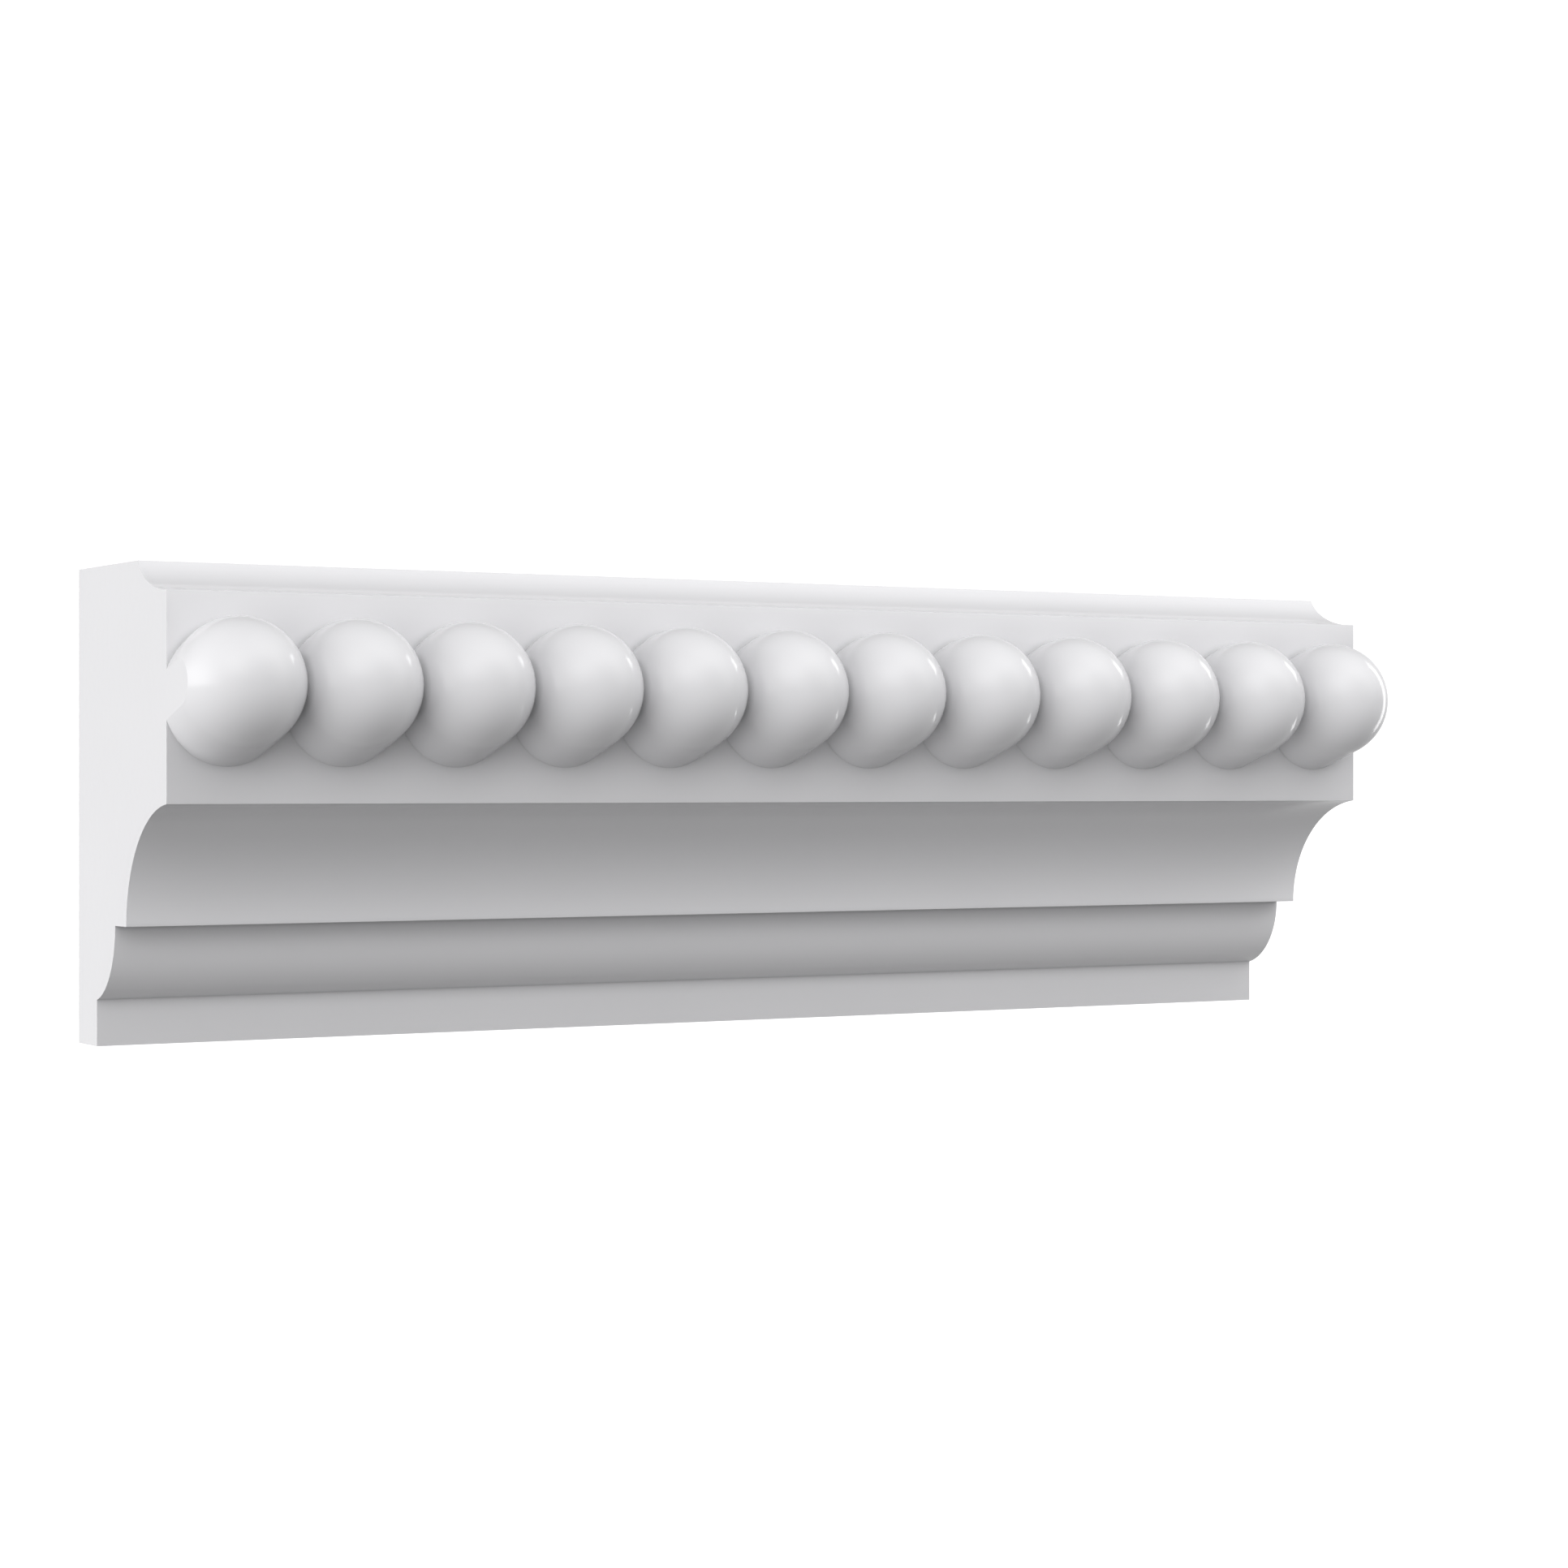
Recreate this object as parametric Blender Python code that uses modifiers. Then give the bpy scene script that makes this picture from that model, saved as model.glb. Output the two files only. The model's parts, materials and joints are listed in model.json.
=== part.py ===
"""A beaded frieze moulding: one cast length with a row of big overlapping beads.

Metres, +Z up. The front faces -Y, the length runs along X, and the origin is the
centre of the flat back, which lies against the wall.
"""
import math

import bmesh
import bpy

# Length and bead row
LENGTH = 0.3043            # cut length, end face to end face
BEAD_SPACING = 0.0254      # aim for the distance between bead centres
BEAD_RADIUS = 0.01355
BEAD_STAND_OFF = 0.0067    # ball centre in front of the band's face
BEAD_RISE = 0.0240         # ball centre above the band's lower edge
BEAD_TILT = math.radians(18.6)   # how far the bead's stem climbs as it leaves the band

# Heights of the members, from the bottom up
FILLET_HEIGHT = 0.0097
OVOLO_HEIGHT = 0.0158
CAVETTO_HEIGHT = 0.0252
BAND_HEIGHT = 0.0427
COVE_HEIGHT = 0.0066

# Depths: the bottom fillet's own, then how far each member stands past the one below
FILLET_DEPTH = 0.01115
OVOLO_PROJECTION = 0.0109
SOFFIT_STEP = 0.0065
CAVETTO_PROJECTION = 0.0229
COVE_SET_BACK = 0.0160     # from the band's face back to the top edge

# Stretches of the quarter ellipses that the curved members follow
OVOLO_END = math.radians(78.0)
CAVETTO_END = math.radians(84.4)
COVE_START = math.radians(15.0)
QUARTER_TURN = math.radians(90.0)

# Facets
ARC_STEPS = 10             # straight runs in each curved member
BEAD_SIDES = 24            # facets round a bead
BEAD_RINGS = 6             # facets from a bead's side to its tip
SAW_WASTE = 0.004          # cast past each end, and sawn off square
TOOL_MARGIN = 0.010        # how far the saw block reaches past the moulding
MERGE = 0.00001
SHARP_ANGLE = math.radians(35.0)

PAINT_COLOUR = (0.86, 0.86, 0.865, 1.0)
PAINT_ROUGHNESS = 0.38

# Worked out from the sizes above
height = FILLET_HEIGHT + OVOLO_HEIGHT + CAVETTO_HEIGHT + BAND_HEIGHT + COVE_HEIGHT
fillet_top = FILLET_HEIGHT
ovolo_top = fillet_top + OVOLO_HEIGHT
band_foot = ovolo_top + CAVETTO_HEIGHT
band_top = band_foot + BAND_HEIGHT
ovolo_depth = FILLET_DEPTH + OVOLO_PROJECTION
cavetto_depth = ovolo_depth + SOFFIT_STEP
band_depth = cavetto_depth + CAVETTO_PROJECTION
top_depth = band_depth - COVE_SET_BACK
bead_count = max(1, round(LENGTH / BEAD_SPACING))
bead_pitch = LENGTH / bead_count
back_to_centre = height / 2


def clear_scene():
    for item in list(bpy.data.objects):
        bpy.data.objects.remove(item, do_unlink=True)


def make_collection(name):
    group = bpy.data.collections.new(name)
    bpy.context.scene.collection.children.link(group)
    return group


def make_paint():
    paint = bpy.data.materials.new("satin_white_paint")
    paint.use_nodes = True
    shader = paint.node_tree.nodes["Principled BSDF"]
    shader.inputs["Base Color"].default_value = PAINT_COLOUR
    shader.inputs["Roughness"].default_value = PAINT_ROUGHNESS
    shader.inputs["Metallic"].default_value = 0.0
    return paint


def arc_points(first, last, place):
    """Points between two corners along place(t), which runs from (0, 0) to (1, 1)."""
    points = []
    for step in range(ARC_STEPS + 1):
        across, along = place(step / ARC_STEPS)
        points.append((first[0] + (last[0] - first[0]) * across,
                       first[1] + (last[1] - first[1]) * along))
    return points


def ovolo_place(t):
    """Convex, hanging straight down from the soffit and turning in to the fillet."""
    turn = OVOLO_END * t
    return (1 - math.cos(turn)) / (1 - math.cos(OVOLO_END)), math.sin(turn) / math.sin(OVOLO_END)


def cavetto_place(t):
    """Hollow, running back from the band and turning straight down at its foot."""
    turn = CAVETTO_END * (1 - t)
    drop = 1 - math.sin(turn) / math.sin(CAVETTO_END)
    run = 1 - (1 - math.cos(turn)) / (1 - math.cos(CAVETTO_END))
    return run, drop


def cove_place(t):
    """Hollow, falling steeply from the top edge and running out flat to the band."""
    turn = COVE_START + (QUARTER_TURN - COVE_START) * t
    run = (math.cos(COVE_START) - math.cos(turn)) / math.cos(COVE_START)
    drop = (math.sin(turn) - math.sin(COVE_START)) / (1 - math.sin(COVE_START))
    return run, drop


def profile_outline():
    """The section as (depth, height) points, from the back's top corner clockwise."""
    outline = [(0.0, height)]
    outline += arc_points((top_depth, height), (band_depth, band_top), cove_place)
    outline += arc_points((band_depth, band_foot), (cavetto_depth, ovolo_top), cavetto_place)
    outline += arc_points((ovolo_depth, ovolo_top), (FILLET_DEPTH, fillet_top), ovolo_place)
    outline += [(FILLET_DEPTH, 0.0), (0.0, 0.0)]
    return outline


def make_moulding(group):
    """The plain run, a little longer than the finished piece."""
    curve = bpy.data.curves.new("moulding_section", "CURVE")
    curve.dimensions = "2D"
    curve.fill_mode = "BOTH"
    curve.extrude = LENGTH / 2 + SAW_WASTE
    outline = profile_outline()
    spline = curve.splines.new("POLY")
    spline.points.add(len(outline) - 1)
    for point, (depth, level) in zip(spline.points, outline):
        point.co = (-depth, level - back_to_centre, 0.0, 1.0)
    spline.use_cyclic_u = True
    drawn = bpy.data.objects.new("moulding_section", curve)
    # The section is drawn flat, then stood up with its thickness along X
    drawn.rotation_euler = (QUARTER_TURN, 0.0, QUARTER_TURN)
    group.objects.link(drawn)
    bpy.context.view_layer.update()
    mesh = bpy.data.meshes.new_from_object(drawn.evaluated_get(bpy.context.evaluated_depsgraph_get()))
    weld(mesh)
    moulding = bpy.data.objects.new("beaded_frieze", mesh)
    moulding.matrix_world = drawn.matrix_world
    group.objects.link(moulding)
    bpy.data.objects.remove(drawn)
    return moulding


def weld(mesh):
    work = bmesh.new()
    work.from_mesh(mesh)
    bmesh.ops.remove_doubles(work, verts=work.verts, dist=MERGE)
    bmesh.ops.recalc_face_normals(work, faces=work.faces)
    work.to_mesh(mesh)
    work.free()


def make_bead_mesh(paint):
    """A half ball on a round stem of its own radius, turned about its own Z axis."""
    stem = (BEAD_STAND_OFF + BEAD_RADIUS * math.sin(BEAD_TILT)) / math.cos(BEAD_TILT) + SAW_WASTE
    profile = [(0.0, BEAD_RADIUS)]
    for ring in range(1, BEAD_RINGS + 1):
        turn = QUARTER_TURN * ring / BEAD_RINGS
        profile.append((BEAD_RADIUS * math.sin(turn), BEAD_RADIUS * math.cos(turn)))
    profile += [(BEAD_RADIUS, -stem), (0.0, -stem)]
    mesh = bpy.data.meshes.new("bead")
    vertices = [(across, 0.0, level) for across, level in profile]
    edges = [(step, step + 1) for step in range(len(profile) - 1)]
    mesh.from_pydata(vertices, edges, [])
    mesh.materials.append(paint)
    return mesh


def make_bead(group, mesh, index):
    bead = bpy.data.objects.new(f"bead_{index + 1}", mesh)
    bead.location = (bead_pitch * (index + 0.5) - LENGTH / 2,
                     -(band_depth + BEAD_STAND_OFF),
                     band_foot + BEAD_RISE - back_to_centre)
    # The stem's axis points forward and climbs by the tilt
    bead.rotation_euler = (QUARTER_TURN - BEAD_TILT, 0.0, 0.0)
    turn = bead.modifiers.new("turn", "SCREW")
    turn.axis = "Z"
    turn.steps = BEAD_SIDES
    turn.render_steps = BEAD_SIDES
    turn.use_merge_vertices = True
    turn.merge_threshold = MERGE
    hide_tool(bead)
    group.objects.link(bead)
    return bead


def make_saw_block(group):
    """The box that the moulding is kept inside, which cuts both ends square."""
    work = bmesh.new()
    bmesh.ops.create_cube(work, size=1.0)
    depth = band_depth + BEAD_STAND_OFF + BEAD_RADIUS + 2 * TOOL_MARGIN
    bmesh.ops.scale(work, verts=work.verts, vec=(LENGTH, depth, height + 2 * TOOL_MARGIN))
    mesh = bpy.data.meshes.new("saw_block")
    work.to_mesh(mesh)
    work.free()
    block = bpy.data.objects.new("saw_block", mesh)
    block.location = (0.0, TOOL_MARGIN - depth / 2, 0.0)
    hide_tool(block)
    group.objects.link(block)
    return block


def hide_tool(tool):
    tool.hide_render = True
    tool.display_type = "WIRE"


def join_and_saw(moulding, beads, block):
    join = moulding.modifiers.new("join_beads", "BOOLEAN")
    join.operation = "UNION"
    join.operand_type = "COLLECTION"
    join.collection = beads
    join.solver = "EXACT"
    saw = moulding.modifiers.new("saw_ends", "BOOLEAN")
    saw.operation = "INTERSECT"
    saw.object = block
    saw.solver = "EXACT"


def finish_mesh(moulding):
    """Fixes the joined shape as the moulding's own mesh and shades its round parts."""
    bpy.context.view_layer.update()
    shaped = moulding.evaluated_get(bpy.context.evaluated_depsgraph_get())
    mesh = bpy.data.meshes.new_from_object(shaped)
    moulding.modifiers.clear()
    moulding.data = mesh
    mesh.transform(moulding.matrix_world)
    moulding.matrix_world.identity()
    weld(mesh)
    mesh.shade_smooth()
    mesh.set_sharp_from_angle(angle=SHARP_ANGLE)


def main():
    clear_scene()
    frieze_parts = make_collection("beaded_frieze")
    cutters = make_collection("cutters")
    bead_tools = bpy.data.collections.new("bead_tools")
    cutters.children.link(bead_tools)
    paint = make_paint()
    moulding = make_moulding(frieze_parts)
    moulding.data.materials.append(paint)
    bead_mesh = make_bead_mesh(paint)
    for index in range(bead_count):
        make_bead(bead_tools, bead_mesh, index)
    block = make_saw_block(cutters)
    block.data.materials.append(paint)
    join_and_saw(moulding, bead_tools, block)
    finish_mesh(moulding)


main()
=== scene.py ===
# %% [markdown]
# # A beaded frieze moulding, from section to studio picture
#
# The object is one straight length of white wall moulding. From the top down it has a
# small hollow, a flat band with a row of big overlapping beads, a deep hollow, a rounded
# member and a plain fillet. It is one casting, so it becomes one mesh here.
#
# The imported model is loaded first. It fixes where the piece is and how big it may be.

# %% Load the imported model
import json
import math

import bpy
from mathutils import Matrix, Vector

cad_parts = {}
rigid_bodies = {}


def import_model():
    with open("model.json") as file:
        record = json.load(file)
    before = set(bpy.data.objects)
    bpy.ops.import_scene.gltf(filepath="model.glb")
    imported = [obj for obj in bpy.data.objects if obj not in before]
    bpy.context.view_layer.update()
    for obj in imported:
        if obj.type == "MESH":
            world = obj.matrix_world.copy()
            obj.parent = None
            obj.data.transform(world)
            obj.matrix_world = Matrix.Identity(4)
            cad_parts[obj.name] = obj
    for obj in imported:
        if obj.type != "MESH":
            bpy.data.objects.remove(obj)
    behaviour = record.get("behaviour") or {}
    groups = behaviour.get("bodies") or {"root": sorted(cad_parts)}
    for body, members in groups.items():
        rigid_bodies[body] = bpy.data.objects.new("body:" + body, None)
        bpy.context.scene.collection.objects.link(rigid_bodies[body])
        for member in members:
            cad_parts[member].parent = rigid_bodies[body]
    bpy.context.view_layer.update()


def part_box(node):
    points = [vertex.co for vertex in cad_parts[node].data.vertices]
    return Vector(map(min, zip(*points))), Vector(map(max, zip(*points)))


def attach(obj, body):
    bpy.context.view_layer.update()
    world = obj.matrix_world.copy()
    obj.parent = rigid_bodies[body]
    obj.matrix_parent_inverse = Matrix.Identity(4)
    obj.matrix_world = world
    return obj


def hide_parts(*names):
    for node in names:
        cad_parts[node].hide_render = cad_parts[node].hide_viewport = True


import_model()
low, high = (Vector(corner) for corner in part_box("beaded_frieze"))
length = high.x - low.x
height = high.z - low.z
print(f"casting: {length * 1000:.1f} mm long, {height * 1000:.1f} mm high")

# %% [markdown]
# ## The camera
#
# The photograph looks level at the front from the left. Its edges that run the length
# close in to the right, which gives the angle, and how fast they close in gives the
# distance. A camera lens is a plain number of millimetres on a 36 mm sensor.

# %% Set the camera
VIEW_TURN = math.radians(30.858)      # how far the camera looks round from straight at the front
LENS_MM = 79.56
SENSOR_MM = 36.0
CAMERA_LEFT_OF_END = 0.2476
CAMERA_IN_FRONT = 0.7048
CAMERA_ABOVE_FOOT = 0.0547

camera_data = bpy.data.cameras.new("photo_camera")
camera_data.lens = LENS_MM
camera_data.sensor_width = SENSOR_MM
camera = bpy.data.objects.new("photo_camera", camera_data)
camera.location = (low.x - CAMERA_LEFT_OF_END, high.y - CAMERA_IN_FRONT, low.z + CAMERA_ABOVE_FOOT)
camera.rotation_euler = (math.pi / 2, 0.0, -VIEW_TURN)
bpy.context.scene.collection.objects.link(camera)
bpy.context.scene.camera = camera
print(f"camera stands {(camera.location - (low + high) / 2).length:.2f} m from the middle of the piece")

# %% [markdown]
# ## Small helpers
#
# Operators act on what is selected, so each step starts with nothing selected. Vertices
# are chosen in code by where they are, in place of clicking them.

# %% Helpers
def deselect_everything():
    if bpy.context.object and bpy.context.object.mode != "OBJECT":
        bpy.ops.object.mode_set(mode="OBJECT")
    bpy.ops.object.select_all(action="DESELECT")


def make_active(item):
    deselect_everything()
    item.select_set(True)
    bpy.context.view_layer.objects.active = item


def select_vertices(item, wanted):
    """In edit mode, select the vertices whose place passes the test wanted(co)."""
    bpy.ops.mesh.select_mode(type="VERT")
    bpy.ops.mesh.select_all(action="DESELECT")
    bpy.ops.object.mode_set(mode="OBJECT")
    for vertex in item.data.vertices:
        vertex.select = wanted(vertex.co)
    bpy.ops.object.mode_set(mode="EDIT")


def triangles(item):
    return sum(len(face.vertices) - 2 for face in item.data.polygons)


deselect_everything()

# %% [markdown]
# ## The section
#
# A moulding is a section drawn along its length. Plasterers cut the section in a metal
# template and run it through the wet material. Here the outline is walked with the
# extrude tool, one vertex at a time, up from the foot of the wall side. The curved
# members follow stretches of ellipses, as the real template does: a hollow that turns
# away from the viewer, or a round that turns towards them.

# %% Sizes of the members
FILLET_HEIGHT = 0.0097
OVOLO_HEIGHT = 0.0158
CAVETTO_HEIGHT = 0.0252
BAND_HEIGHT = 0.0427
COVE_HEIGHT = height - FILLET_HEIGHT - OVOLO_HEIGHT - CAVETTO_HEIGHT - BAND_HEIGHT
FILLET_DEPTH = 0.01115
OVOLO_DEPTH = 0.02205
CAVETTO_DEPTH = 0.02855
BAND_DEPTH = 0.05145
TOP_DEPTH = 0.03545
OVOLO_END = math.radians(78.0)
CAVETTO_END = math.radians(84.4)
COVE_START = math.radians(15.0)
ARC_STEPS = 40

fillet_top = low.z + FILLET_HEIGHT
ovolo_top = fillet_top + OVOLO_HEIGHT
band_foot = ovolo_top + CAVETTO_HEIGHT
band_top = band_foot + BAND_HEIGHT
print(f"top hollow: {COVE_HEIGHT * 1000:.1f} mm high, band face {BAND_DEPTH * 1000:.1f} mm off the wall")


# %% Points of the outline
def between(first, last, share):
    """A point that is share[0] of the way across and share[1] of the way up."""
    return (first[0] + (last[0] - first[0]) * share[0], first[1] + (last[1] - first[1]) * share[1])


def ellipse_share(turn, end):
    """How far across and up a stretch of a quarter ellipse has come, from its upright end."""
    return (1 - math.cos(turn)) / (1 - math.cos(end)), math.sin(turn) / math.sin(end)


def ovolo_points():
    """Round member, from the fillet up to the soffit."""
    turns = [OVOLO_END * (1 - step / ARC_STEPS) for step in range(ARC_STEPS + 1)]
    return [between((OVOLO_DEPTH, ovolo_top), (FILLET_DEPTH, fillet_top), ellipse_share(turn, OVOLO_END))
            for turn in turns]


def cavetto_points():
    """Deep hollow, from its foot up and out to the band."""
    turns = [CAVETTO_END * step / ARC_STEPS for step in range(ARC_STEPS + 1)]
    return [between((CAVETTO_DEPTH, ovolo_top), (BAND_DEPTH, band_foot), ellipse_share(turn, CAVETTO_END))
            for turn in turns]


def cove_points():
    """Small hollow, from the band's top edge back and up to the top."""
    quarter_turn = math.pi / 2
    points = []
    for step in range(ARC_STEPS + 1):
        turn = quarter_turn + (COVE_START - quarter_turn) * step / ARC_STEPS
        across = (math.cos(COVE_START) - math.cos(turn)) / math.cos(COVE_START)
        down = (math.sin(turn) - math.sin(COVE_START)) / (1 - math.sin(COVE_START))
        points.append(between((TOP_DEPTH, high.z), (BAND_DEPTH, band_top), (across, down)))
    return points


outline = [(0.0, low.z), (FILLET_DEPTH, low.z)] + ovolo_points() + cavetto_points() + cove_points()
outline.append((0.0, high.z))
print(f"outline: {len(outline)} points")

# %% [markdown]
# A plane is added and merged to one vertex, which then walks round the outline. The closed
# ring is filled, and the face is extruded along the length, a little past both ends.

# %% Walk the outline and extrude the section
SAW_WASTE = 0.004
START_SIZE = 0.01

start = (low.x - SAW_WASTE, -outline[0][0], outline[0][1])
bpy.ops.mesh.primitive_plane_add(size=START_SIZE, location=start)
casting = bpy.context.object
casting.name = "frieze_casting"
bpy.ops.object.transform_apply(location=True, rotation=True, scale=True)
bpy.ops.object.mode_set(mode="EDIT")
bpy.ops.mesh.select_mode(type="VERT")
bpy.ops.mesh.select_all(action="SELECT")
bpy.ops.mesh.merge(type="CENTER")
for (depth, level), (next_depth, next_level) in zip(outline, outline[1:]):
    step = (0.0, depth - next_depth, next_level - level)
    bpy.ops.mesh.extrude_vertices_move(TRANSFORM_OT_translate={"value": step})
bpy.ops.mesh.select_all(action="SELECT")
bpy.ops.mesh.edge_face_add()
bpy.ops.mesh.extrude_region_move(TRANSFORM_OT_translate={"value": (length + 2 * SAW_WASTE, 0.0, 0.0)})
bpy.ops.mesh.select_all(action="SELECT")
bpy.ops.mesh.normals_make_consistent(inside=False)
bpy.ops.object.mode_set(mode="OBJECT")
print(f"plain run: {triangles(casting)} triangles")

# %% [markdown]
# ## Arrises
#
# No cast edge is razor sharp. The long edges where members meet get a very small bevel,
# about as wide as a hair, which catches a thin line of light. The band's top edge stays
# crisp, since the hollow above runs out square to it. The ends aren't bevelled, because
# they are sawn.

# %% Soften the long edges
ARRIS = 0.00005
ARRIS_SEGMENTS = 2
SHARP_MEETING = math.radians(20.0)

bpy.ops.object.mode_set(mode="EDIT")
bpy.ops.mesh.select_mode(type="EDGE")
bpy.ops.mesh.select_all(action="DESELECT")
bpy.ops.mesh.edges_select_sharp(sharpness=SHARP_MEETING)
bpy.ops.object.mode_set(mode="OBJECT")
for edge in casting.data.edges:
    ends = [casting.data.vertices[index].co for index in edge.vertices]
    runs_along = abs(ends[1].x - ends[0].x) > length / 2
    is_band_top = abs(ends[0].z - band_top) < ARRIS
    edge.select = edge.select and runs_along and not is_band_top
bpy.ops.object.mode_set(mode="EDIT")
bpy.ops.mesh.bevel(offset=ARRIS, offset_type="OFFSET", segments=ARRIS_SEGMENTS, affect="EDGES")
bpy.ops.object.mode_set(mode="OBJECT")
print(f"with softened arrises: {triangles(casting)} triangles")

# %% [markdown]
# ## One bead
#
# Each bead is a ball whose back runs on as a round stem of the same radius. The stem
# climbs a little as it leaves the band, so the ball stands higher than its foot and is
# undercut on top. A UV sphere loses its back half, the open rim is extruded along the
# stem, and the end is closed inside the band, where it doesn't show.

# %% Model the bead
BEAD_RADIUS = 0.01355
BEAD_STAND_OFF = 0.00667
BEAD_RISE = 0.0240
BEAD_TILT = math.radians(18.6)
BEAD_SIDES = 96
BEAD_RINGS = 48
BEAD_COUNT = 12
STEM_EMBED = 0.004
RIM_SHARE = 0.001

pitch = length / BEAD_COUNT
stem_length = (BEAD_STAND_OFF + BEAD_RADIUS * math.sin(BEAD_TILT)) / math.cos(BEAD_TILT) + STEM_EMBED
deselect_everything()
bpy.ops.mesh.primitive_uv_sphere_add(segments=BEAD_SIDES, ring_count=BEAD_RINGS, radius=BEAD_RADIUS)
bead = bpy.context.object
bead.name = "bead"
rim = BEAD_RADIUS * RIM_SHARE
bpy.ops.object.mode_set(mode="EDIT")
select_vertices(bead, lambda place: place.z < -rim)
bpy.ops.mesh.delete(type="VERT")
select_vertices(bead, lambda place: abs(place.z) < rim)
bpy.ops.mesh.extrude_region_move(TRANSFORM_OT_translate={"value": (0.0, 0.0, -stem_length)})
bpy.ops.mesh.edge_face_add()
bpy.ops.mesh.select_all(action="SELECT")
bpy.ops.mesh.normals_make_consistent(inside=False)
bpy.ops.object.mode_set(mode="OBJECT")
print(f"bead: {triangles(bead)} triangles, stem {stem_length * 1000:.1f} mm, pitch {pitch * 1000:.2f} mm")

# %% [markdown]
# ## The row
#
# The bead is turned to its tilt, set half a pitch in from the left end, and copied along
# the band. The spacing is less than a bead's width, so each bead runs into the next with a
# sharp valley. A Boolean union makes one skin of the plain run and all the beads.

# %% Copy the bead along the band
deselect_everything()
bead.rotation_euler = (math.pi / 2 - BEAD_TILT, 0.0, 0.0)
bead.location = (low.x + pitch / 2, -(BAND_DEPTH + BEAD_STAND_OFF), band_foot + BEAD_RISE)
make_active(bead)
bpy.ops.object.transform_apply(location=True, rotation=True, scale=True)
bead_row = bpy.data.collections.new("bead_row")
bpy.context.scene.collection.children.link(bead_row)
for index in range(BEAD_COUNT):
    copy = bpy.data.objects.new(f"bead_{index + 1}", bead.data.copy())
    copy.location.x = pitch * index
    bead_row.objects.link(copy)
bpy.data.objects.remove(bead)

# %% Join the beads to the run
make_active(casting)
join = casting.modifiers.new("join_beads", "BOOLEAN")
join.operation = "UNION"
join.operand_type = "COLLECTION"
join.collection = bead_row
join.solver = "EXACT"
bpy.ops.object.modifier_apply(modifier=join.name)
for copy in list(bead_row.objects):
    bpy.data.objects.remove(copy)
bpy.data.collections.remove(bead_row)
print(f"joined: {triangles(casting)} triangles")

# %% [markdown]
# ## Sawing the ends
#
# The bisect tool cuts both ends square, half a pitch beyond the outer beads, and closes
# each cut with a flat face, as a saw leaves it.

# %% Saw both ends and shade
ROUND_LIMIT = math.radians(28.0)
SAW_EXACTNESS = 0.000001
SAWN_FACING = 0.9999

bpy.ops.object.mode_set(mode="EDIT")
for end, outward in ((low.x, -1.0), (high.x, 1.0)):
    bpy.ops.mesh.select_all(action="SELECT")
    bpy.ops.mesh.bisect(plane_co=(end, 0.0, 0.0), plane_no=(outward, 0.0, 0.0), use_fill=True,
                        clear_outer=True, threshold=SAW_EXACTNESS)
bpy.ops.object.mode_set(mode="OBJECT")
bpy.ops.object.shade_smooth_by_angle(angle=ROUND_LIMIT)
for face in casting.data.polygons:
    if abs(face.normal.x) > SAWN_FACING:
        face.use_smooth = False
print(f"sawn: {triangles(casting)} triangles, {casting.dimensions.x * 1000:.2f} mm long")

# %% [markdown]
# ## The finish
#
# The surface is a smooth satin white coat. Close up, such a coat has a fine ripple like
# orange peel, its gloss drifts a little, and its white isn't quite even. Each effect is a
# node group with named inputs, so that it can be tuned where it is used.

# %% Node group helpers
def new_group(name, inputs, outputs):
    group = bpy.data.node_groups.new(name, "ShaderNodeTree")
    for label, kind in inputs:
        group.interface.new_socket(label, in_out="INPUT", socket_type=kind)
    for label, kind in outputs:
        group.interface.new_socket(label, in_out="OUTPUT", socket_type=kind)
    return group, group.nodes.new("NodeGroupInput"), group.nodes.new("NodeGroupOutput")


def add_math(nodes, links, operation, first, second):
    node = nodes.new("ShaderNodeMath")
    node.operation = operation
    for socket, value in zip(node.inputs, (first, second)):
        if isinstance(value, (int, float)):
            socket.default_value = value
        else:
            links.new(value, socket)
    return node.outputs[0]


# %% Drift: a slow change between two values
DRIFT_DETAIL = 3.0
NOISE_LOW = 0.3
NOISE_HIGH = 0.7


def make_drift_group():
    group, given, result = new_group(
        "coat_drift",
        [("Vector", "NodeSocketVector"), ("Scale", "NodeSocketFloat"),
         ("Low", "NodeSocketFloat"), ("High", "NodeSocketFloat")],
        [("Value", "NodeSocketFloat")])
    noise = group.nodes.new("ShaderNodeTexNoise")
    noise.inputs["Detail"].default_value = DRIFT_DETAIL
    group.links.new(given.outputs["Vector"], noise.inputs["Vector"])
    group.links.new(given.outputs["Scale"], noise.inputs["Scale"])
    spread = group.nodes.new("ShaderNodeMapRange")
    spread.inputs["From Min"].default_value = NOISE_LOW
    spread.inputs["From Max"].default_value = NOISE_HIGH
    group.links.new(noise.outputs["Fac"], spread.inputs["Value"])
    group.links.new(given.outputs["Low"], spread.inputs["To Min"])
    group.links.new(given.outputs["High"], spread.inputs["To Max"])
    group.links.new(spread.outputs["Result"], result.inputs["Value"])
    return group


# %% Peel: the ripple of a sprayed coat
RIPPLE_DETAIL = 1.0
GRAIN_DETAIL = 2.0
GRAIN_FINENESS = 6.0


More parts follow.
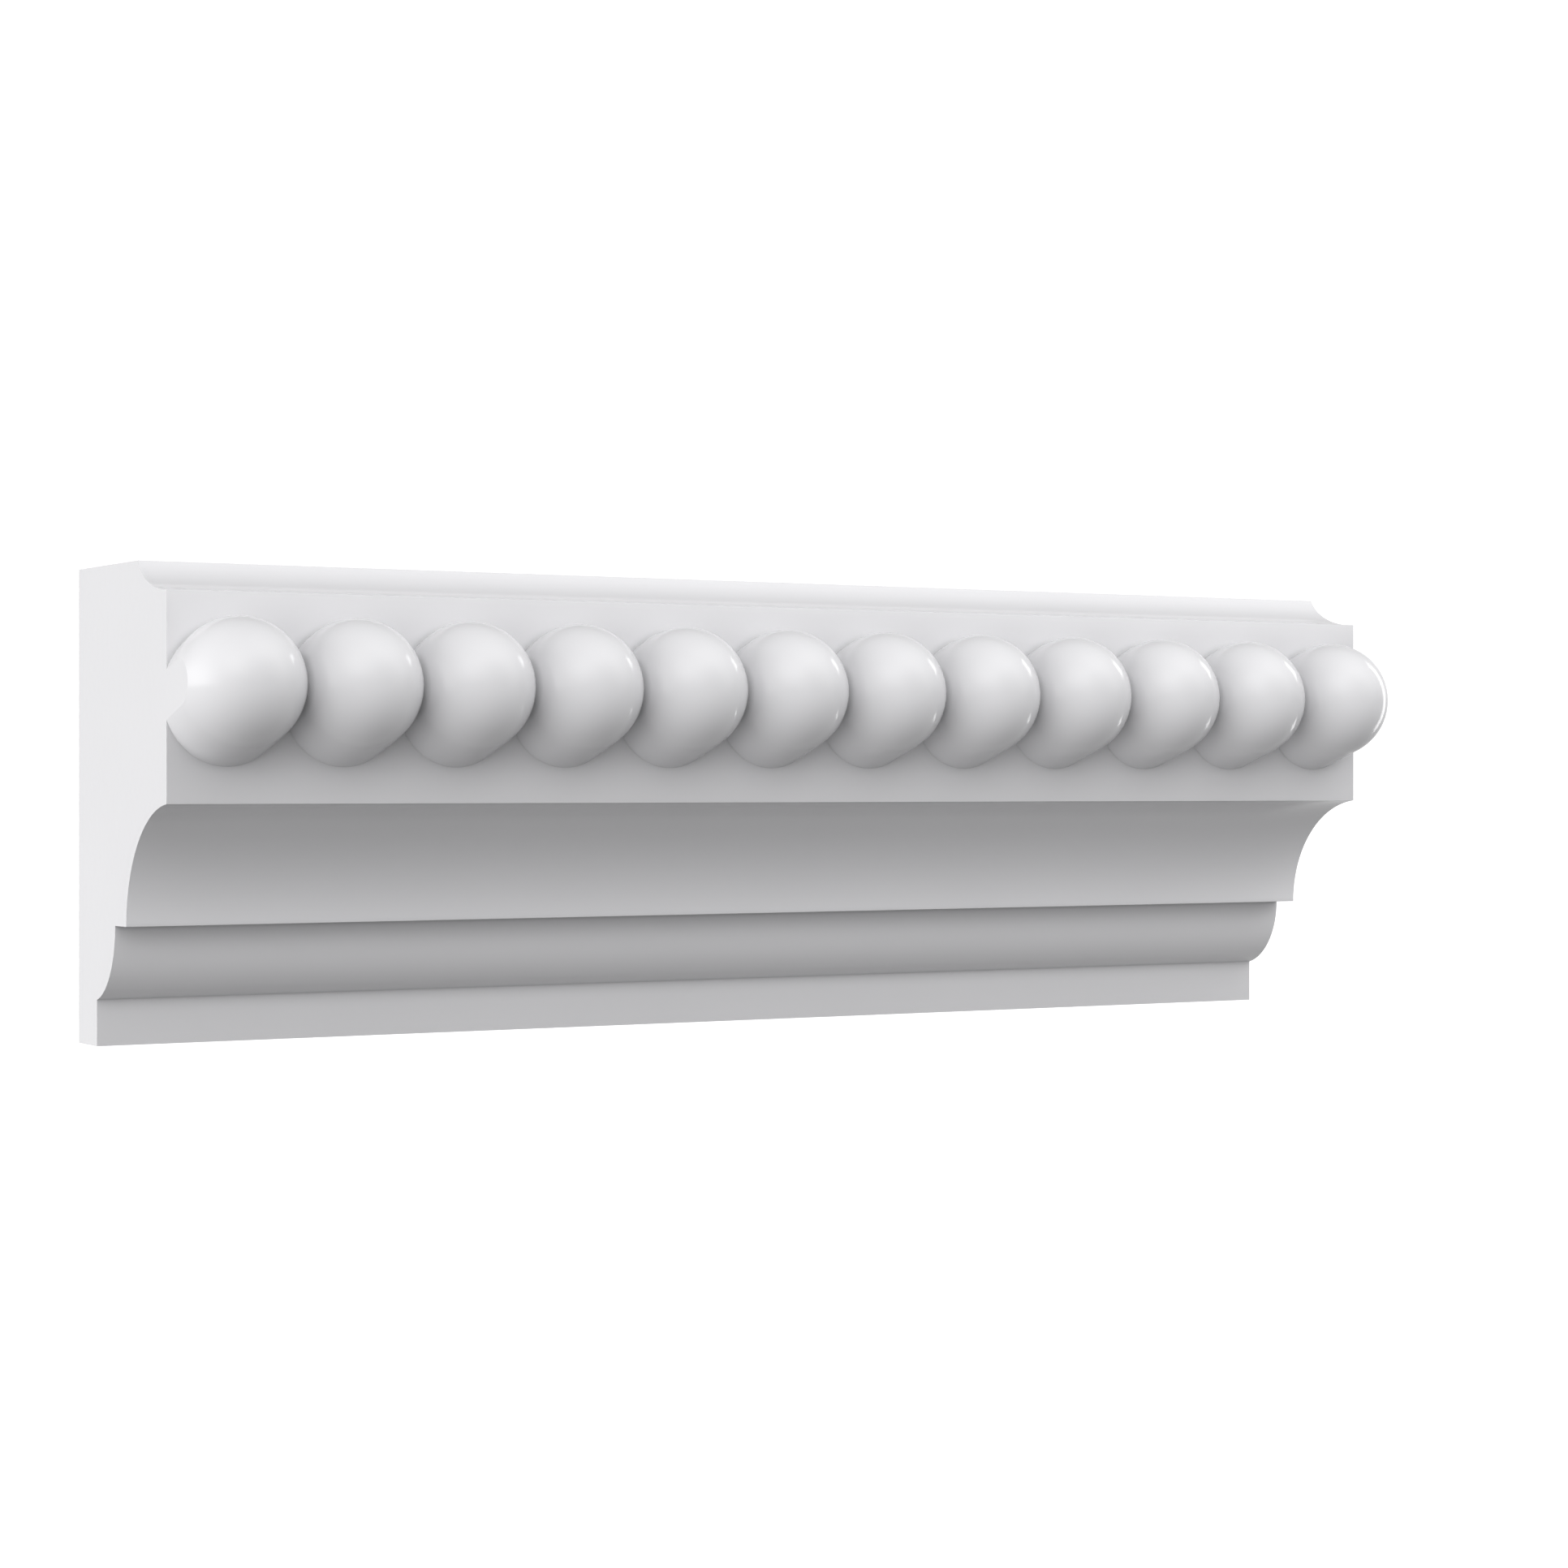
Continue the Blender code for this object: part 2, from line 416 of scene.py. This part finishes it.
def make_peel_group():
    group, given, result = new_group(
        "coat_peel",
        [("Vector", "NodeSocketVector"), ("Scale", "NodeSocketFloat"), ("Grain", "NodeSocketFloat")],
        [("Height", "NodeSocketFloat")])
    ripple = group.nodes.new("ShaderNodeTexNoise")
    ripple.inputs["Detail"].default_value = RIPPLE_DETAIL
    group.links.new(given.outputs["Vector"], ripple.inputs["Vector"])
    group.links.new(given.outputs["Scale"], ripple.inputs["Scale"])
    fine = group.nodes.new("ShaderNodeTexNoise")
    fine.inputs["Detail"].default_value = GRAIN_DETAIL
    group.links.new(given.outputs["Vector"], fine.inputs["Vector"])
    fine_scale = add_math(group.nodes, group.links, "MULTIPLY", given.outputs["Scale"], GRAIN_FINENESS)
    group.links.new(fine_scale, fine.inputs["Scale"])
    grain = add_math(group.nodes, group.links, "MULTIPLY", fine.outputs["Fac"], given.outputs["Grain"])
    total = add_math(group.nodes, group.links, "ADD", ripple.outputs["Fac"], grain)
    group.links.new(total, result.inputs["Height"])
    return group


# %% Above: the part of the casting over a given height
def make_above_group():
    group, given, result = new_group(
        "above_height",
        [("Vector", "NodeSocketVector"), ("Height", "NodeSocketFloat")],
        [("Mask", "NodeSocketFloat")])
    parts = group.nodes.new("ShaderNodeSeparateXYZ")
    group.links.new(given.outputs["Vector"], parts.inputs["Vector"])
    mask = add_math(group.nodes, group.links, "GREATER_THAN", parts.outputs["Z"], given.outputs["Height"])
    group.links.new(mask, result.inputs["Mask"])
    return group


# %% Wall side: where the bare back of the casting is
def make_wall_side_group():
    group, given, result = new_group(
        "wall_side",
        [("Vector", "NodeSocketVector"), ("Reach", "NodeSocketFloat")],
        [("Mask", "NodeSocketFloat")])
    parts = group.nodes.new("ShaderNodeSeparateXYZ")
    group.links.new(given.outputs["Vector"], parts.inputs["Vector"])
    behind = add_math(group.nodes, group.links, "MULTIPLY", given.outputs["Reach"], -1.0)
    mask = add_math(group.nodes, group.links, "GREATER_THAN", parts.outputs["Y"], behind)
    group.links.new(mask, result.inputs["Mask"])
    return group


drift_group = make_drift_group()
peel_group = make_peel_group()
above_group = make_above_group()
wall_side_group = make_wall_side_group()
print("finish groups:", drift_group.name, peel_group.name, above_group.name, wall_side_group.name)

# %% [markdown]
# The colour is a neutral white, very slightly cool. On the wall side the coat is thinner
# and duller, since nobody sees it. In the creases a painted shade makes the white greyer,
# more so in the narrow corner under the soffit than between the beads. The Ambient
# Occlusion node finds the creases by how much of the surface near by is in the way. The
# shader stays in the material, and the groups feed its colour, its roughness and the
# height of its bump.

# %% The satin white coat
COAT_WHITE = (0.705, 0.702, 0.717, 1.0)
COAT_SHADE = (0.690, 0.687, 0.702, 1.0)
BACK_WHITE = (0.64, 0.64, 0.63, 1.0)
# Painted shade: greyer colours put into the creases, darkest in the corner under the soffit, lighter
# between the beads.
PAINTED_CORNER_SHADE = (0.28, 0.28, 0.29, 1.0)
PAINTED_VALLEY_SHADE = (0.58, 0.58, 0.59, 1.0)
CREASE_REACH = 0.002
CREASE_END = 0.45
CREASE_START = 0.74
CREASE_RAYS = 6
DRIFT_SCALE = 22.0
PEEL_SCALE = 520.0
PEEL_GRAIN = 0.15
PEEL_DEPTH = 0.000015
GLOSS_SCALE = 60.0
ROUGHNESS_LOW = 0.12
ROUGHNESS_HIGH = 0.15
BACK_ROUGHNESS = 0.75
BACK_REACH = 0.0001
COAT_IOR = 1.42


def use_group(nodes, group, **values):
    node = nodes.new("ShaderNodeGroup")
    node.node_tree = group
    for label, value in values.items():
        node.inputs[label].default_value = value
    return node


def colour_inputs(node):
    """The Mix node's colour sockets, which share their names with its number sockets."""
    return [socket for socket in node.inputs if socket.type == "RGBA"]


coat = bpy.data.materials.new("satin_white_coat")
coat.use_nodes = True
nodes = coat.node_tree.nodes
links = coat.node_tree.links
shader = nodes["Principled BSDF"]
shader.inputs["IOR"].default_value = COAT_IOR
place = nodes.new("ShaderNodeTexCoord").outputs["Object"]

white_drift = use_group(nodes, drift_group, Scale=DRIFT_SCALE, Low=0.0, High=1.0)
gloss_drift = use_group(nodes, drift_group, Scale=GLOSS_SCALE, Low=ROUGHNESS_LOW, High=ROUGHNESS_HIGH)
wall_side = use_group(nodes, wall_side_group, Reach=BACK_REACH)
on_band = use_group(nodes, above_group, Height=band_foot)
peel = use_group(nodes, peel_group, Scale=PEEL_SCALE, Grain=PEEL_GRAIN)
for node in (white_drift, gloss_drift, wall_side, on_band, peel):
    links.new(place, node.inputs["Vector"])

print("finish:", coat.name)


# %% Colour with painted crease shade, gloss and ripple of the coat
def mix_colours(factor, first, second):
    node = nodes.new("ShaderNodeMix")
    node.data_type = "RGBA"
    links.new(factor, node.inputs[0])
    for socket, value in zip(colour_inputs(node), (first, second)):
        if isinstance(value, tuple):
            socket.default_value = value
        else:
            links.new(value, socket)
    return [socket for socket in node.outputs if socket.type == "RGBA"][0]


# Painted shade in the creases: the Ambient Occlusion node finds them, and the colour is darkened there.
openness = nodes.new("ShaderNodeAmbientOcclusion")
openness.inputs["Distance"].default_value = CREASE_REACH
openness.only_local = True
openness.samples = CREASE_RAYS
painted_shade_factor = nodes.new("ShaderNodeMapRange")
painted_shade_factor.inputs["From Min"].default_value = CREASE_END
painted_shade_factor.inputs["From Max"].default_value = CREASE_START
links.new(openness.outputs["AO"], painted_shade_factor.inputs["Value"])

front_white = mix_colours(white_drift.outputs["Value"], COAT_WHITE, COAT_SHADE)
# Painted shade: the corner colour below the band and the valley colour on it, mixed in where the creases
# close in.
painted_crease_shade = mix_colours(on_band.outputs["Mask"], PAINTED_CORNER_SHADE, PAINTED_VALLEY_SHADE)
white_with_painted_shade = mix_colours(painted_shade_factor.outputs["Result"], painted_crease_shade, front_white)
links.new(mix_colours(wall_side.outputs["Mask"], white_with_painted_shade, BACK_WHITE), shader.inputs["Base Color"])

duller = nodes.new("ShaderNodeMix")
links.new(wall_side.outputs["Mask"], duller.inputs[0])
links.new(gloss_drift.outputs["Value"], duller.inputs[2])
duller.inputs[3].default_value = BACK_ROUGHNESS
links.new(duller.outputs[0], shader.inputs["Roughness"])

ripple = nodes.new("ShaderNodeBump")
ripple.inputs["Distance"].default_value = PEEL_DEPTH
links.new(peel.outputs["Height"], ripple.inputs["Height"])
links.new(ripple.outputs["Normal"], shader.inputs["Normal"])

casting.data.materials.clear()
casting.data.materials.append(coat)
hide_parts("beaded_frieze")
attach(casting, "root")

# %% [markdown]
# ## Floor and backdrop
#
# The piece is photographed as if fixed in mid air on pure white. A floor a little way
# below runs back and turns up in one sweep, so no line shows behind the piece. The sweep
# is a plane whose back edge is extruded up and whose corner is bevelled round. The paper
# shines by itself as if lit from behind, so it stays white. A Light Path node lets it
# shine less in the mirror of the coat, which would look milky otherwise, and the paper is
# hidden from soft bounces, so it doesn't wash out the shade under the members.

# %% The white sweep
FLOOR_DROP = 0.35
FLOOR_SIZE = 12.0
WALL_HEIGHT = 3.0
SWEEP_RADIUS = 0.8
SWEEP_STEPS = 12
EDGE_SHARE = 0.99
PAPER_WHITE = 0.2
PAPER_ROUGHNESS = 0.9
PAPER_GLOW = 0.52
PAPER_GLOW_SEEN = 1.0

deselect_everything()
bpy.ops.mesh.primitive_plane_add(size=FLOOR_SIZE, location=(0.0, 0.0, low.z - FLOOR_DROP))
sweep = bpy.context.object
sweep.name = "white_sweep"
bpy.ops.object.transform_apply(location=True, rotation=True, scale=True)
bpy.ops.object.mode_set(mode="EDIT")
back_edge = FLOOR_SIZE / 2 * EDGE_SHARE
select_vertices(sweep, lambda place: place.y > back_edge)
bpy.ops.mesh.extrude_region_move(TRANSFORM_OT_translate={"value": (0.0, 0.0, WALL_HEIGHT)})
select_vertices(sweep, lambda place: place.y > back_edge and place.z < low.z)
bpy.ops.mesh.bevel(offset=SWEEP_RADIUS, segments=SWEEP_STEPS, affect="EDGES")
bpy.ops.object.mode_set(mode="OBJECT")
bpy.ops.object.shade_smooth()

paper = bpy.data.materials.new("white_paper")
paper.use_nodes = True
paper_shader = paper.node_tree.nodes["Principled BSDF"]
paper_shader.inputs["Base Color"].default_value = (PAPER_WHITE, PAPER_WHITE, PAPER_WHITE, 1.0)
paper_shader.inputs["Roughness"].default_value = PAPER_ROUGHNESS
paper_shader.inputs["Emission Color"].default_value = (1.0, 1.0, 1.0, 1.0)
ray = paper.node_tree.nodes.new("ShaderNodeLightPath")
glow_choice = paper.node_tree.nodes.new("ShaderNodeMix")
glow_choice.inputs[2].default_value = PAPER_GLOW
glow_choice.inputs[3].default_value = PAPER_GLOW_SEEN
paper.node_tree.links.new(ray.outputs["Is Camera Ray"], glow_choice.inputs[0])
paper.node_tree.links.new(glow_choice.outputs[0], paper_shader.inputs["Emission Strength"])
sweep.data.materials.append(paper)
sweep.visible_diffuse = False
sweep.visible_shadow = False
print(f"floor {FLOOR_DROP * 100:.0f} cm below the foot")

# %% [markdown]
# ## Light
#
# A product studio lights white on white with large soft sources all round. Broad sources
# are easiest to make in the world, each as a glow that is strongest in one direction and
# fades to the sides. Here three come from the left, one from the front, one from above,
# three from the right and one from behind, and a weak one from below stands for the light
# off the floor. Where the camera looks past the floor, it sees plain white in their place.

# %% One broad glow
def make_glow_group():
    group, given, result = new_group(
        "broad_glow",
        [("View", "NodeSocketVector"), ("Towards", "NodeSocketVector"),
         ("Focus", "NodeSocketFloat"), ("Strength", "NodeSocketFloat")],
        [("Value", "NodeSocketFloat")])
    unit = group.nodes.new("ShaderNodeVectorMath")
    unit.operation = "NORMALIZE"
    group.links.new(given.outputs["Towards"], unit.inputs[0])
    facing = group.nodes.new("ShaderNodeVectorMath")
    facing.operation = "DOT_PRODUCT"
    group.links.new(given.outputs["View"], facing.inputs[0])
    group.links.new(unit.outputs["Vector"], facing.inputs[1])
    ahead = add_math(group.nodes, group.links, "MAXIMUM", facing.outputs["Value"], 0.0)
    faded = add_math(group.nodes, group.links, "POWER", ahead, given.outputs["Focus"])
    lit = add_math(group.nodes, group.links, "MULTIPLY", faded, given.outputs["Strength"])
    group.links.new(lit, result.inputs["Value"])
    return group


glow_group = make_glow_group()
print("light group:", glow_group.name)

# %% The studio's glows
GLOWS = {
    "left_box": {"Towards": (-1.0, 0.0, 0.0), "Focus": 8.0, "Strength": 3.0},
    "left_wide": {"Towards": (-1.0, -0.2, 0.1), "Focus": 4.0, "Strength": 1.0},
    "left_behind": {"Towards": (-0.9, 0.43, 0.15), "Focus": 30.0, "Strength": 1.3},
    "front_high": {"Towards": (-0.4, -1.0, 0.7), "Focus": 10.0, "Strength": 2.4},
    "top_front": {"Towards": (0.3, -0.5, 0.8), "Focus": 12.0, "Strength": 1.5},
    "right_front": {"Towards": (0.78, -0.42, 0.46), "Focus": 8.0, "Strength": 1.15},
    "right_high": {"Towards": (1.0, -0.3, 1.0), "Focus": 6.0, "Strength": 0.93},
    "right_behind": {"Towards": (1.0, 0.6, 0.1), "Focus": 8.0, "Strength": 0.6},
    "behind": {"Towards": (0.2, 1.0, -0.1), "Focus": 3.0, "Strength": 0.6},
    "below": {"Towards": (0.0, -0.3, -1.0), "Focus": 2.0, "Strength": 0.27},
}

BACKGROUND_SEEN = 1.0

world = bpy.data.worlds.new("studio")
world.use_nodes = True
bpy.context.scene.world = world
studio = world.node_tree
look = studio.nodes.new("ShaderNodeTexCoord").outputs["Generated"]
total = None
for name, values in GLOWS.items():
    glow = use_group(studio.nodes, glow_group, **values)
    glow.name = name
    studio.links.new(look, glow.inputs["View"])
    total = glow.outputs["Value"] if total is None else add_math(
        studio.nodes, studio.links, "ADD", total, glow.outputs["Value"])
seen = studio.nodes.new("ShaderNodeLightPath").outputs["Is Camera Ray"]
white_or_glows = studio.nodes.new("ShaderNodeMix")
studio.links.new(seen, white_or_glows.inputs[0])
studio.links.new(total, white_or_glows.inputs[2])
white_or_glows.inputs[3].default_value = BACKGROUND_SEEN
studio.links.new(white_or_glows.outputs[0], studio.nodes["Background"].inputs["Strength"])
studio.nodes["Background"].inputs["Color"].default_value = (1.0, 1.0, 1.0, 1.0)
bpy.context.scene.view_settings.view_transform = "Standard"
print("glows:", ", ".join(GLOWS))

# %% [markdown]
# Two lamps stand nearer. A big soft one at the front right makes the right end of the
# piece a little brighter than the left. A tall narrow one far out on the right is mirrored
# along the right edge of every bead, above and below where the next bead is in its way.

# %% The two lamps
STRIP_PLACE = (high.x + 0.90, 0.09, 0.13)
STRIP_SIZE = (0.20, 1.04)
STRIP_POWER = 2.0
KEY_PLACE = (high.x + 0.15, -0.60, 0.40)
KEY_SIZE = (0.9, 0.9)
KEY_POWER = 1.0


def add_lamp(name, place, size, power):
    """An upright rectangular lamp turned towards the front of the right-hand beads."""
    aim = Vector((high.x / 2, low.y, place[2])) - Vector(place)
    deselect_everything()
    bpy.ops.object.light_add(type="AREA", location=place, rotation=aim.to_track_quat("-Z", "Y").to_euler())
    lamp = bpy.context.object
    lamp.name = name
    lamp.data.shape = "RECTANGLE"
    lamp.data.size, lamp.data.size_y = size
    lamp.data.energy = power
    lamp.visible_camera = False
    print(f"{name}: {aim.length:.2f} m away")


add_lamp("strip_lamp", STRIP_PLACE, STRIP_SIZE, STRIP_POWER)
add_lamp("key_lamp", KEY_PLACE, KEY_SIZE, KEY_POWER)
